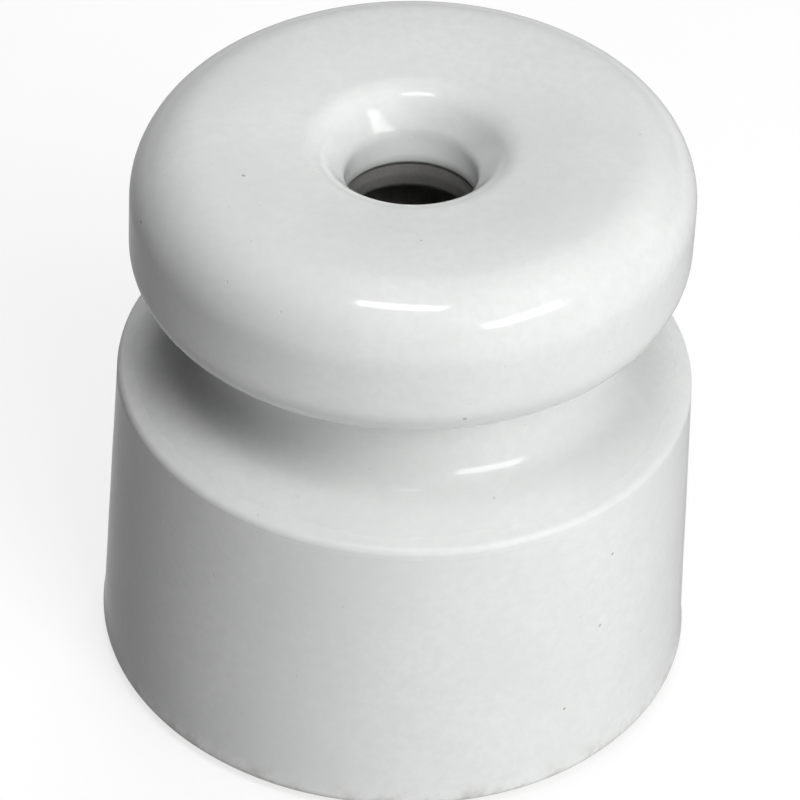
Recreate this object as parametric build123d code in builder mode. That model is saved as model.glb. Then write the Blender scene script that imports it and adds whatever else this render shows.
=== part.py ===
from build123d import *
import os

# Porcelain knob insulator for a fence wire: a fired body, and the glaze fused over it.
# Millimetres, +Z up. The origin is on the base, on the centre line of the bore.

os.makedirs("parts", exist_ok=True)

# Overall
TOTAL_HEIGHT = 42.8  # base to the crown of the head

# Lower drum, which stands on the post
BASE_RADIUS = 20.9
FOOT_ROUNDING = 1.2
SHOULDER_RADIUS = 20.0
SHOULDER_HEIGHT = 23.2
SHOULDER_ROUNDING = 0.6

# Wire groove between the drum's sloping shoulder and the head
NECK_RADIUS = 14.1
SHOULDER_CORNER_HEIGHT = 25.3  # where the shoulder's slope would meet the neck
GROOVE_LOWER_ROUNDING = 3.6
GROOVE_UPPER_ROUNDING = 1.5

# Head, which keeps the wire in the groove
HEAD_RADIUS = 19.2
HEAD_UNDERSIDE_AT_NECK = 30.95
HEAD_UNDERSIDE_AT_RIM = 31.95
HEAD_LOWER_ROUNDING = 3.2
HEAD_UPPER_ROUNDING = 4.6
CROWN_RADIUS = 12.5
CROWN_ROUNDING = 24.0
RIM_DROP = 0.35  # crown to the upper rim corner
DISH_DEPTH = 0.57  # crown to the mouth corner

# Countersunk mouth, throat and fixing bore
MOUTH_RADIUS = 6.48
MOUTH_ROUNDING = 2.6
COUNTERSINK_BOTTOM_HEIGHT = 39.75  # where the countersink's slope would meet the throat
COUNTERSINK_BOTTOM_ROUNDING = 1.2
THROAT_RADIUS = 4.5
THROAT_HEIGHT = 35.6
THROAT_ROUNDING = 0.6
BORE_RADIUS = 8.0
BORE_TOP_ROUNDING = 0.6
BORE_FOOT_ROUNDING = 0.6

# Glaze: fused over everything but the foot and the bore
GLAZE_THICKNESS = 0.25
DRY_FOOT_HEIGHT = 0.5
GLAZE_END_IN_THROAT = 37.2

# Corners of the half section, anticlockwise from the bore's foot, each with its rounding
SECTION_CORNERS = (
    ((BORE_RADIUS, 0.0), BORE_FOOT_ROUNDING),
    ((BASE_RADIUS, 0.0), FOOT_ROUNDING),
    ((SHOULDER_RADIUS, SHOULDER_HEIGHT), SHOULDER_ROUNDING),
    ((NECK_RADIUS, SHOULDER_CORNER_HEIGHT), GROOVE_LOWER_ROUNDING),
    ((NECK_RADIUS, HEAD_UNDERSIDE_AT_NECK), GROOVE_UPPER_ROUNDING),
    ((HEAD_RADIUS, HEAD_UNDERSIDE_AT_RIM), HEAD_LOWER_ROUNDING),
    ((HEAD_RADIUS, TOTAL_HEIGHT - RIM_DROP), HEAD_UPPER_ROUNDING),
    ((CROWN_RADIUS, TOTAL_HEIGHT), CROWN_ROUNDING),
    ((MOUTH_RADIUS, TOTAL_HEIGHT - DISH_DEPTH), MOUTH_ROUNDING),
    ((THROAT_RADIUS, COUNTERSINK_BOTTOM_HEIGHT), COUNTERSINK_BOTTOM_ROUNDING),
    ((THROAT_RADIUS, THROAT_HEIGHT), THROAT_ROUNDING),
    ((BORE_RADIUS, THROAT_HEIGHT), BORE_TOP_ROUNDING),
)


def fired_section():
    """Half section of the whole insulator, glaze included."""
    corners = [corner for corner, rounding in SECTION_CORNERS]
    roundings = [rounding for corner, rounding in SECTION_CORNERS]
    with BuildSketch(Plane.XZ) as section:
        with BuildLine():
            FilletPolyline(*corners, radius=roundings, close=True)
        make_face()
    return section.sketch


def glaze_section():
    """Half section of the glaze: a skin inside the outline, left off the foot and the bore."""
    with BuildSketch(Plane.XZ) as section:
        add(fired_section())
        offset(fired_section(), amount=-GLAZE_THICKNESS, mode=Mode.SUBTRACT)
        Rectangle(3 * BASE_RADIUS, DRY_FOOT_HEIGHT, align=(Align.CENTER, Align.MIN), mode=Mode.SUBTRACT)
        Rectangle(2 * CROWN_RADIUS, GLAZE_END_IN_THROAT, align=(Align.CENTER, Align.MIN), mode=Mode.SUBTRACT)
    return section.sketch


with BuildPart() as porcelain_body:
    with BuildSketch(Plane.XZ):
        add(fired_section())
        add(glaze_section(), mode=Mode.SUBTRACT)
    revolve(axis=Axis.Z)

porcelain_body.part.label = "porcelain_body"
export_step(porcelain_body.part, "parts/porcelain_body.step")

with BuildPart() as glaze_coat:
    with BuildSketch(Plane.XZ):
        add(glaze_section())
    revolve(axis=Axis.Z)

glaze_coat.part.label = "glaze_coat"
export_step(glaze_coat.part, "parts/glaze_coat.step")
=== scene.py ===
import math

import bmesh
import bpy
from mathutils import Matrix, Vector, noise


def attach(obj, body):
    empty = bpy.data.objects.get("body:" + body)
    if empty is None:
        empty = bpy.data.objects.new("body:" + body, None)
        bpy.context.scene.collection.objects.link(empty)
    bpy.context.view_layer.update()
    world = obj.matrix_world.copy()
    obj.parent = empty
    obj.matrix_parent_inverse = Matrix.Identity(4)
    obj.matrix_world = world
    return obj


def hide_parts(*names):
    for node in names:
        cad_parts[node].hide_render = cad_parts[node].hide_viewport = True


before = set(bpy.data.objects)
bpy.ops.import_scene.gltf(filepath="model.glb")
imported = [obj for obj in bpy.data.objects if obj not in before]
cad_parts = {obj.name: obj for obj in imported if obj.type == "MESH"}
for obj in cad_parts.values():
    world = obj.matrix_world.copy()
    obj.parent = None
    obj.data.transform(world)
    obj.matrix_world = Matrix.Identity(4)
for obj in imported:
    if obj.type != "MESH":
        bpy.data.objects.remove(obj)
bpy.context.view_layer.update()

MM = 0.001

# ---------------------------------------------------------------- sizes, in millimetres
# The fired insulator's half section, as the CAD has it, glaze included
TOTAL_HEIGHT = 42.8

BASE_RADIUS = 20.9
FOOT_ROUNDING = 1.2
SHOULDER_RADIUS = 20.0
SHOULDER_HEIGHT = 23.2
SHOULDER_ROUNDING = 0.6

NECK_RADIUS = 14.1
SHOULDER_CORNER_HEIGHT = 25.3  # where the shoulder's slope would meet the neck
GROOVE_LOWER_ROUNDING = 3.6
GROOVE_UPPER_ROUNDING = 1.5

HEAD_RADIUS = 19.2
HEAD_UNDERSIDE_AT_NECK = 30.95
HEAD_UNDERSIDE_AT_RIM = 31.95
HEAD_LOWER_ROUNDING = 3.2
HEAD_UPPER_ROUNDING = 4.6
CROWN_RADIUS = 12.5
CROWN_ROUNDING = 24.0
RIM_DROP = 0.35  # crown to the upper rim corner
DISH_DEPTH = 0.57  # crown to the mouth corner

MOUTH_RADIUS = 6.48
MOUTH_ROUNDING = 2.6
COUNTERSINK_BOTTOM_HEIGHT = 39.75  # where the countersink's slope would meet the throat
COUNTERSINK_BOTTOM_ROUNDING = 1.2
THROAT_RADIUS = 4.5
THROAT_HEIGHT = 35.6
THROAT_ROUNDING = 0.6
BORE_RADIUS = 8.0
BORE_TOP_ROUNDING = 0.6
BORE_FOOT_ROUNDING = 0.6

# Corners of the half section, anticlockwise from the bore's foot, each with its rounding
SECTION_CORNERS = (
    ((BORE_RADIUS, 0.0), BORE_FOOT_ROUNDING),
    ((BASE_RADIUS, 0.0), FOOT_ROUNDING),
    ((SHOULDER_RADIUS, SHOULDER_HEIGHT), SHOULDER_ROUNDING),
    ((NECK_RADIUS, SHOULDER_CORNER_HEIGHT), GROOVE_LOWER_ROUNDING),
    ((NECK_RADIUS, HEAD_UNDERSIDE_AT_NECK), GROOVE_UPPER_ROUNDING),
    ((HEAD_RADIUS, HEAD_UNDERSIDE_AT_RIM), HEAD_LOWER_ROUNDING),
    ((HEAD_RADIUS, TOTAL_HEIGHT - RIM_DROP), HEAD_UPPER_ROUNDING),
    ((CROWN_RADIUS, TOTAL_HEIGHT), CROWN_ROUNDING),
    ((MOUTH_RADIUS, TOTAL_HEIGHT - DISH_DEPTH), MOUTH_ROUNDING),
    ((THROAT_RADIUS, COUNTERSINK_BOTTOM_HEIGHT), COUNTERSINK_BOTTOM_ROUNDING),
    ((THROAT_RADIUS, THROAT_HEIGHT), THROAT_ROUNDING),
    ((BORE_RADIUS, THROAT_HEIGHT), BORE_TOP_ROUNDING),
)

# Glaze, and the bare porcelain beside it
GLAZE_THICKNESS = 0.25
GLAZE_FOOT_HEIGHT = 0.5
GLAZE_THROAT_HEIGHT = 37.2
GLAZE_EDGE_ROUNDING = 0.35  # how far from its ends the coat thins out
GLAZE_BEAD = 0.09  # how far the thick roll behind that edge stands proud
BEAD_PLACE = 0.6  # and where it is, and how wide
BEAD_SPREAD = 0.5
DRY_FOOT_SETBACK = 0.2  # the unglazed foot lies behind the glaze's edge

# What hand finishing and firing did to the ideal shape
HEAD_LEAN = math.tan(math.radians(1.4))  # the head was fired a little out of square
HEAD_LEAN_FULL_HEIGHT = 34.0  # it starts at the shoulder, and is full from here up
MOUTH_SHIFT = -0.2  # the mouth and the throat were pressed a little to the left
MOUTH_SHIFT_FULL_RADIUS = 7.2
MOUTH_SHIFT_END_RADIUS = 10.5
BORE_SHIFT_DEPTH = 3.0  # below the throat, the shift fades out over this depth
THROAT_SHIFT = -0.8  # and the throat's lower part a little to the front
THROAT_SHIFT_FULL_HEIGHT = 37.5
THROAT_SHIFT_END_HEIGHT = 39.9
WARP = 0.07  # how far the round is uneven, over stretches of about WARP_SPAN
WARP_SPAN = 14.0
RIPPLE = 0.012  # and the finer unevenness of the glaze itself
RIPPLE_SPAN = 3.2

# How finely the meshes follow all that
RUN_STEP = 0.5  # longest stretch between section points on a straight run
ARC_STEP = math.radians(6)
TURNS = 256  # points round each ring


# ---------------------------------------------------------------- the half section
def turned(arm, angle):
    """A flat vector turned anticlockwise."""
    across = arm.x * math.cos(angle) - arm.y * math.sin(angle)
    along = arm.x * math.sin(angle) + arm.y * math.cos(angle)
    return Vector((across, along))


def corner_arc(before, corner, after, radius):
    """Points and outward normals along the arc that rounds one corner of an anticlockwise outline."""
    back = (before - corner).normalized()
    ahead = (after - corner).normalized()
    half_angle = back.angle(ahead) / 2
    start = corner + back * radius / math.tan(half_angle)
    centre = corner + (back + ahead).normalized() * radius / math.sin(half_angle)
    bulges_out = back.x * ahead.y - back.y * ahead.x < 0
    sign = 1 if bulges_out else -1
    turn = math.pi - 2 * half_angle
    steps = max(2, math.ceil(turn / ARC_STEP))
    arc = []
    for k in range(steps + 1):
        spoke = turned(start - centre, sign * turn * k / steps)
        arc.append((centre + spoke, spoke.normalized() * sign))
    return arc


def rounded_outline(corners):
    """Points and outward normals round a closed outline, with each corner rounded to its radius."""
    count = len(corners)
    places = [Vector(corner) for corner, _ in corners]
    arcs = []
    for i, (_, radius) in enumerate(corners):
        arcs.append(corner_arc(places[i - 1], places[i], places[(i + 1) % count], radius))
    path = []
    for i, arc in enumerate(arcs):
        path.extend(arc)
        end, normal = arc[-1]
        run = arcs[(i + 1) % count][0][0] - end
        steps = max(1, math.ceil(run.length / RUN_STEP))
        path.extend((end + run * k / steps, normal) for k in range(1, steps))
    return path


def is_glazed(point):
    """Whether the section is glazed there: not on the foot, nor low in the throat or in the bore."""
    inside = point.x < CROWN_RADIUS and point.y < TOTAL_HEIGHT
    lowest = GLAZE_THROAT_HEIGHT if inside else GLAZE_FOOT_HEIGHT
    return point.y > lowest


OUTLINE = rounded_outline(SECTION_CORNERS)
GLAZED = [(point, normal) for point, normal in OUTLINE if is_glazed(point)]


def coat_depth(point, normal):
    """How far the porcelain lies under the finished outline."""
    if is_glazed(point):
        return GLAZE_THICKNESS
    return DRY_FOOT_SETBACK * max(0.0, normal.x)


def body_section():
    """The porcelain's outline as (radius, height) pairs."""
    return [tuple(point - normal * coat_depth(point, normal)) for point, normal in OUTLINE]


def glaze_section():
    """The coat's outer face, rolled over at both ends, and back along the porcelain."""
    runs = [0.0]
    for (point, _), (following, _) in zip(GLAZED, GLAZED[1:]):
        runs.append(runs[-1] + (following - point).length)
    outer = []
    for (point, normal), run in zip(GLAZED, runs):
        to_end = min(run, runs[-1] - run)
        flat = 1 - min(1.0, to_end / GLAZE_EDGE_ROUNDING)
        rolled = math.sqrt(max(0.0, 1 - flat ** 2))
        bead = GLAZE_BEAD * math.exp(-((run - BEAD_PLACE) / BEAD_SPREAD) ** 2)
        outer.append(point - normal * (GLAZE_THICKNESS * (1 - rolled) - bead * rolled))
    inner = [point - normal * GLAZE_THICKNESS for point, normal in GLAZED]
    return [tuple(point) for point in outer[1:-1]] + [tuple(point) for point in reversed(inner)]


# ---------------------------------------------------------------- meshes
def smooth(edge0, edge1, value):
    """0 below edge0, 1 above edge1, and a smooth rise between."""
    t = min(1.0, max(0.0, (value - edge0) / (edge1 - edge0)))
    return t * t * (3 - 2 * t)


def unevenness(place):
    """How far the glaze stands out of the true round at a place."""
    broad = WARP * noise.noise(place / WARP_SPAN)
    fine = RIPPLE * noise.noise(place / RIPPLE_SPAN)
    return broad + fine


def fired(x, y, z):
    """Where firing left a point of the ideal shape, in metres."""
    radius = math.hypot(x, y)
    by_mouth = 1 - smooth(MOUTH_SHIFT_FULL_RADIUS, MOUTH_SHIFT_END_RADIUS, radius)
    by_mouth *= smooth(THROAT_HEIGHT - BORE_SHIFT_DEPTH, THROAT_HEIGHT, z)
    z += x * HEAD_LEAN * smooth(SHOULDER_HEIGHT, HEAD_LEAN_FULL_HEIGHT, z)
    x += MOUTH_SHIFT * by_mouth
    y += THROAT_SHIFT * by_mouth * (1 - smooth(THROAT_SHIFT_FULL_HEIGHT, THROAT_SHIFT_END_HEIGHT, z))
    if radius > BORE_RADIUS:
        push = unevenness(Vector((x, y, z))) * smooth(BORE_RADIUS, NECK_RADIUS, radius)
        x += x / radius * push
        y += y / radius * push
    return Vector((x, y, z)) * MM


def revolved(name, section):
    """A closed solid: the section, a closed loop of (radius, height), turned about Z."""
    mesh = bmesh.new()
    rings = []
    for radius, height in section:
        ring = []
        for k in range(TURNS):
            angle = 2 * math.pi * k / TURNS
            place = fired(radius * math.cos(angle), radius * math.sin(angle), height)
            ring.append(mesh.verts.new(place))
        rings.append(ring)
    for i, ring in enumerate(rings):
        following = rings[(i + 1) % len(rings)]
        for k in range(TURNS):
            n = (k + 1) % TURNS
            mesh.faces.new((ring[k], ring[n], following[n], following[k])).smooth = True
    bmesh.ops.recalc_face_normals(mesh, faces=mesh.faces)
    data = bpy.data.meshes.new(name)
    mesh.to_mesh(data)
    mesh.free()
    piece = bpy.data.objects.new(name, data)
    bpy.context.scene.collection.objects.link(piece)
    return piece


# ---------------------------------------------------------------- materials
class Shader:
    """A Principled material and short ways to add nodes to it."""

    def __init__(self, name):
        self.material = bpy.data.materials.new(name)
        self.material.use_nodes = True
        self.nodes = self.material.node_tree.nodes
        self.links = self.material.node_tree.links
        self.surface = self.nodes["Principled BSDF"]
        self.place = self.nodes.new("ShaderNodeTexCoord").outputs["Object"]

    def put(self, value, socket):
        """Link a node's output, or set a plain value."""
        if isinstance(value, bpy.types.NodeSocket):
            self.links.new(value, socket)
        else:
            socket.default_value = value

    def noise(self, size, detail=2.0, roughness=0.5):
        """Noise whose blotches are about this many millimetres across, from 0 to 1."""
        node = self.nodes.new("ShaderNodeTexNoise")
        self.links.new(self.place, node.inputs["Vector"])
        node.inputs["Scale"].default_value = 1 / (size * MM)
        node.inputs["Detail"].default_value = detail
        node.inputs["Roughness"].default_value = roughness
        return node.outputs["Fac"]

    def dots(self, spacing):
        """Distance to the nearest of scattered points, in parts of their spacing (mm)."""
        node = self.nodes.new("ShaderNodeTexVoronoi")
        self.links.new(self.place, node.inputs["Vector"])
        node.inputs["Scale"].default_value = 1 / (spacing * MM)
        return node.outputs["Distance"]

    def height(self):
        axes = self.nodes.new("ShaderNodeSeparateXYZ")
        self.links.new(self.place, axes.inputs["Vector"])
        return axes.outputs["Z"]

    def ramp(self, value, low, high, to_low=0.0, to_high=1.0):
        """A smooth rise or fall from to_low, where value is low, to to_high, where it is high."""
        node = self.nodes.new("ShaderNodeMapRange")
        node.interpolation_type = "SMOOTHSTEP"
        node.inputs["From Min"].default_value = low
        node.inputs["From Max"].default_value = high
        node.inputs["To Min"].default_value = to_low
        node.inputs["To Max"].default_value = to_high
        self.links.new(value, node.inputs["Value"])
        return node.outputs["Result"]

    def below(self, full, end):
        """1 below the height full, fading to 0 at the height end, both in millimetres."""
        return self.ramp(self.height(), full * MM, end * MM, 1.0, 0.0)

    def above(self, end, full):
        """0 below the height end, rising to 1 at the height full, both in millimetres."""
        return self.ramp(self.height(), end * MM, full * MM)

    def math(self, operation, a, b):
        node = self.nodes.new("ShaderNodeMath")
        node.operation = operation
        self.put(a, node.inputs[0])
        self.put(b, node.inputs[1])
        return node.outputs["Value"]

    def times(self, a, b):
        return self.math("MULTIPLY", a, b)

    def plus(self, a, b):
        return self.math("ADD", a, b)

    def mix(self, share, a, b):
        """Colour a where share is 0, and b where it is 1."""
        node = self.nodes.new("ShaderNodeMix")
        node.data_type = "RGBA"
        self.put(share, node.inputs["Factor"])
        self.put(a, node.inputs["A"])
        self.put(b, node.inputs["B"])
        return node.outputs["Result"]

    def bump(self, height, depth, under=None):
        """Relief of this depth in millimetres, over another relief if there is one."""
        node = self.nodes.new("ShaderNodeBump")
        node.inputs["Strength"].default_value = 1.0
        node.inputs["Distance"].default_value = depth * MM
        self.links.new(height, node.inputs["Height"])
        if under is not None:
            self.links.new(under, node.inputs["Normal"])
        return node.outputs["Normal"]


WHITE_THIN = (0.742, 0.756, 0.748, 1.0)
WHITE_THICK = (0.778, 0.790, 0.782, 1.0)
WHITE_CLOUD = (0.70, 0.712, 0.704, 1.0)
IRON = (0.22, 0.17, 0.12, 1.0)
LOW_SMEAR_GREY = (0.33, 0.30, 0.26, 1.0)
BISQUE_DARK = (0.40, 0.385, 0.35, 1.0)
BISQUE_LIGHT = (0.52, 0.505, 0.47, 1.0)
BISQUE_GRIT = (0.27, 0.25, 0.22, 1.0)
# painted shade: the near-black that stands in for the shade deep in the bore
BORE_PAINTED_SHADE = (0.12, 0.12, 0.118, 1.0)
PAPER_DARK = (0.28, 0.28, 0.28, 1.0)
PAPER_LIGHT = (0.30, 0.30, 0.30, 1.0)
WHITE = (1.0, 1.0, 1.0, 1.0)

GLAZE_IOR = 1.52
BISQUE_IOR = 1.5
SPECK_SPACING = 3.6
PIT_SPACING = 2.1
RUBBED_ROUGHNESS = 0.3  # what the rubbed edge adds
PAPER_ROUGHNESS = 0.9
PAPER_GLOW = 0.72

# How far each of these covers the colour under it at most
CLOUD_SHARE = 0.5
SPECK_SHARE = 0.55
LOW_SMEAR_SHARE = 0.5
GRIT_SHARE = 0.5
BORE_SHADE_SHARE = 0.8


def glaze_colour(m):
    """Faintly clouded white, with a few iron specks in patches, and darker grey smears towards its foot."""
    thicker = m.ramp(m.noise(size=9.0, detail=3.0), 0.35, 0.65)
    tone = m.mix(thicker, WHITE_THIN, WHITE_THICK)
    clouds = m.ramp(m.noise(size=0.7, detail=4.0, roughness=0.65), 0.3, 0.7, to_high=CLOUD_SHARE)
    tone = m.mix(clouds, tone, WHITE_CLOUD)
    specks = m.ramp(m.dots(SPECK_SPACING), 0.035, 0.05, to_low=SPECK_SHARE, to_high=0.0)
    speckled_patches = m.ramp(m.noise(size=6.0), 0.5, 0.6)
    tone = m.mix(m.times(specks, speckled_patches), tone, IRON)
    # darker grey smears over the lowest 2.6 mm of the glaze, in patches
    smears = m.ramp(m.noise(size=1.6, detail=5.0, roughness=0.65), 0.4, 0.68, to_high=LOW_SMEAR_SHARE)
    return m.mix(m.times(m.below(0.5, 2.6), smears), tone, LOW_SMEAR_GREY)


def glaze_roughness(m):
    """Glossy with duller patches, and rubbed dull in a ring along the shoulder's edge."""
    gloss = m.ramp(m.noise(size=2.5, detail=3.0), 0.3, 0.7, to_low=0.07, to_high=0.15)
    rubbed_edge = m.times(m.above(22.2, 22.8), m.below(23.35, 23.9))
    return m.plus(gloss, m.times(rubbed_edge, RUBBED_ROUGHNESS))


def glossy_white():
    """White feldspar glaze with a faint orange peel and pinholes."""
    m = Shader("glossy_white")
    m.put(glaze_colour(m), m.surface.inputs["Base Color"])
    m.put(glaze_roughness(m), m.surface.inputs["Roughness"])
    m.surface.inputs["IOR"].default_value = GLAZE_IOR
    peel = m.bump(m.noise(size=1.3), depth=0.006)
    pits = m.bump(m.ramp(m.dots(PIT_SPACING), 0.03, 0.06), depth=0.02, under=peel)
    m.put(pits, m.surface.inputs["Normal"])
    return m.material


def bisque_colour(m):
    """Grey with handling, gritty, and darkened up in the bore as painted shade."""
    cleaner = m.ramp(m.noise(size=2.2, detail=5.0, roughness=0.6), 0.35, 0.65)
    tone = m.mix(cleaner, BISQUE_DARK, BISQUE_LIGHT)
    grit = m.ramp(m.noise(size=0.35, detail=3.0, roughness=0.7), 0.45, 0.7, to_high=GRIT_SHARE)
    tone = m.mix(grit, tone, BISQUE_GRIT)
    # painted shade: the bare porcelain darkens from 2 mm up to 20 mm into the bore, for the hole's shade
    return m.mix(m.times(m.above(2.0, 20.0), BORE_SHADE_SHARE), tone, BORE_PAINTED_SHADE)


def dry_bisque():
    """Porcelain without glaze: matte and rough."""
    m = Shader("dry_bisque")
    m.put(bisque_colour(m), m.surface.inputs["Base Color"])
    matte = m.ramp(m.noise(size=0.8, detail=3.0), 0.3, 0.7, to_low=0.72, to_high=0.92)
    m.put(matte, m.surface.inputs["Roughness"])
    m.surface.inputs["IOR"].default_value = BISQUE_IOR
    grain = m.bump(m.noise(size=0.5, detail=5.0, roughness=0.7), depth=0.05)
    m.put(grain, m.surface.inputs["Normal"])
    return m.material


def floor_paper():
    """Pale studio paper, with a glow of its own that keeps it near white."""
    m = Shader("floor_paper")
    tone = m.mix(m.noise(size=12.0, detail=3.0), PAPER_DARK, PAPER_LIGHT)
    m.put(tone, m.surface.inputs["Base Color"])
    m.surface.inputs["Roughness"].default_value = PAPER_ROUGHNESS
    m.surface.inputs["Emission Color"].default_value = WHITE
    m.surface.inputs["Emission Strength"].default_value = PAPER_GLOW
    return m.material


# ---------------------------------------------------------------- the pieces
def add_piece(name, section, node_name, material):
    piece = revolved(name, section)
    piece.data.materials.append(material)
    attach(piece, "root")
    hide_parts(node_name)


add_piece("fired_porcelain", body_section(), "porcelain_body", dry_bisque())
add_piece("glaze_skin", glaze_section(), "glaze_coat", glossy_white())


# ---------------------------------------------------------------- floor, light and camera, in metres
FLOOR_HALF_WIDTH = 1.5
FLOOR_DROP = 0.02 * MM  # the paper lies just under the foot, so the two faces don't share one plane

LIGHT_TARGET = Vector((0, 0, 0.025))
KEY_DISTANCE = 0.6
FILL_DISTANCE = 0.8
HORIZON_BLUR = 0.1

CAMERA_TARGET = Vector((-0.00022, 0.0, 0.01985))
CAMERA_DISTANCE = 0.35
CAMERA_ELEVATION = math.radians(39.5)
CAMERA_ROLL = math.radians(2.79)
VIEW_WIDTH = 56.0224 * MM  # how much the frame takes in at the insulator
SENSOR_WIDTH = 36.0  # this one in millimetres, as Blender has it


def add_floor():
    mesh = bmesh.new()
    bmesh.ops.create_grid(mesh, x_segments=8, y_segments=8, size=FLOOR_HALF_WIDTH)
    data = bpy.data.meshes.new("floor")
    mesh.to_mesh(data)
    mesh.free()
    floor = bpy.data.objects.new("floor", data)
    data.materials.append(floor_paper())
    bpy.context.scene.collection.objects.link(floor)
    floor.location.z = -FLOOR_DROP
    floor.visible_diffuse = False  # its bounce comes from the world's lower half instead
    floor.visible_glossy = False


def aimed(place, target, roll=0.0):
    """A matrix that stands at place and looks at target, turned by roll about the line between them."""
    ahead = (target - place).normalized()
    right = ahead.cross(Vector((0, 0, 1))).normalized()
    up = right.cross(ahead)
    tilted_right = right * math.cos(roll) + up * math.sin(roll)
    tilted_up = up * math.cos(roll) - right * math.sin(roll)
    turn = Matrix((tilted_right, tilted_up, -ahead)).transposed().to_4x4()
    return Matrix.Translation(place) @ turn


def add_softbox(name, azimuth, elevation, distance, size, power, mirrored):
    """A rectangular light aimed at the insulator. Azimuth 0 is in front, at -Y, and grows towards +X."""
    data = bpy.data.lights.new(name, "AREA")
    data.shape = "RECTANGLE"
    data.size, data.size_y = size
    data.energy = power
    light = bpy.data.objects.new(name, data)
    a, e = math.radians(azimuth), math.radians(elevation)
    way = Vector((math.sin(a) * math.cos(e), -math.cos(a) * math.cos(e), math.sin(e)))
    light.matrix_world = aimed(LIGHT_TARGET + distance * way, LIGHT_TARGET)
    light.visible_glossy = mirrored
    bpy.context.scene.collection.objects.link(light)


def add_key(name, azimuth, elevation, size, power):
    """A light that the glaze mirrors as a sharp highlight."""
    add_softbox(name, azimuth, elevation, KEY_DISTANCE, size, power, mirrored=True)


def add_fill(name, azimuth, elevation, size, power):
    """A broad, even light that leaves no highlight on the glaze."""
    add_softbox(name, azimuth, elevation, FILL_DISTANCE, size, power, mirrored=False)


def add_world(above, below_left, below_right):
    """Dim light from above the horizon, and from below it what a pale table sends back, less on the left."""
    world = bpy.data.worlds.new("studio")
    world.use_nodes = True
    nodes, links = world.node_tree.nodes, world.node_tree.links
    place = nodes.new("ShaderNodeTexCoord")
    axes = nodes.new("ShaderNodeSeparateXYZ")
    links.new(place.outputs["Generated"], axes.inputs["Vector"])

    table = nodes.new("ShaderNodeMapRange")
    table.inputs["From Min"].default_value = -1.0
    table.inputs["From Max"].default_value = 1.0
    table.inputs["To Min"].default_value = below_left
    table.inputs["To Max"].default_value = below_right
    links.new(axes.outputs["X"], table.inputs["Value"])

    level = nodes.new("ShaderNodeMapRange")
    level.interpolation_type = "SMOOTHSTEP"
    level.inputs["From Min"].default_value = -HORIZON_BLUR
    level.inputs["From Max"].default_value = HORIZON_BLUR
    links.new(table.outputs["Result"], level.inputs["To Min"])
    level.inputs["To Max"].default_value = above
    links.new(axes.outputs["Z"], level.inputs["Value"])

    links.new(level.outputs["Result"], nodes["Background"].inputs["Strength"])
    nodes["Background"].inputs["Color"].default_value = WHITE
    bpy.context.scene.world = world


def add_camera():
    """A long lens in front and above, rolled a little."""
    data = bpy.data.cameras.new("camera")
    data.sensor_width = SENSOR_WIDTH
    data.lens = SENSOR_WIDTH * CAMERA_DISTANCE / VIEW_WIDTH
    camera = bpy.data.objects.new("camera", data)
    way = Vector((0, -math.cos(CAMERA_ELEVATION), math.sin(CAMERA_ELEVATION)))
    camera.matrix_world = aimed(CAMERA_TARGET + CAMERA_DISTANCE * way, CAMERA_TARGET, CAMERA_ROLL)
    bpy.context.scene.collection.objects.link(camera)
    bpy.context.scene.camera = camera


add_floor()
add_world(above=0.015, below_left=0.2, below_right=0.78)
add_key("high_strip", azimuth=-12, elevation=70.5, size=(0.23, 0.09), power=0.53)
add_key("side_window", azimuth=46, elevation=33, size=(0.32, 0.115), power=0.58)
add_fill("overhead_fill", azimuth=0, elevation=75, size=(0.4, 0.4), power=1.0)
add_fill("front_fill", azimuth=30, elevation=50, size=(0.3, 0.3), power=2.15)
add_fill("low_front_fill", azimuth=30, elevation=12, size=(0.5, 0.2), power=1.75)
add_fill("low_side_fill", azimuth=65, elevation=12, size=(0.5, 0.2), power=1.1)
add_fill("back_fill", azimuth=180, elevation=62, size=(0.3, 0.2), power=1.6)
add_fill("low_back_fill", azimuth=180, elevation=38, size=(0.6, 0.4), power=0.3)
add_fill("rear_fill", azimuth=180, elevation=8, size=(0.5, 0.12), power=1.0)
add_camera()
bpy.context.scene.view_settings.view_transform = "Standard"
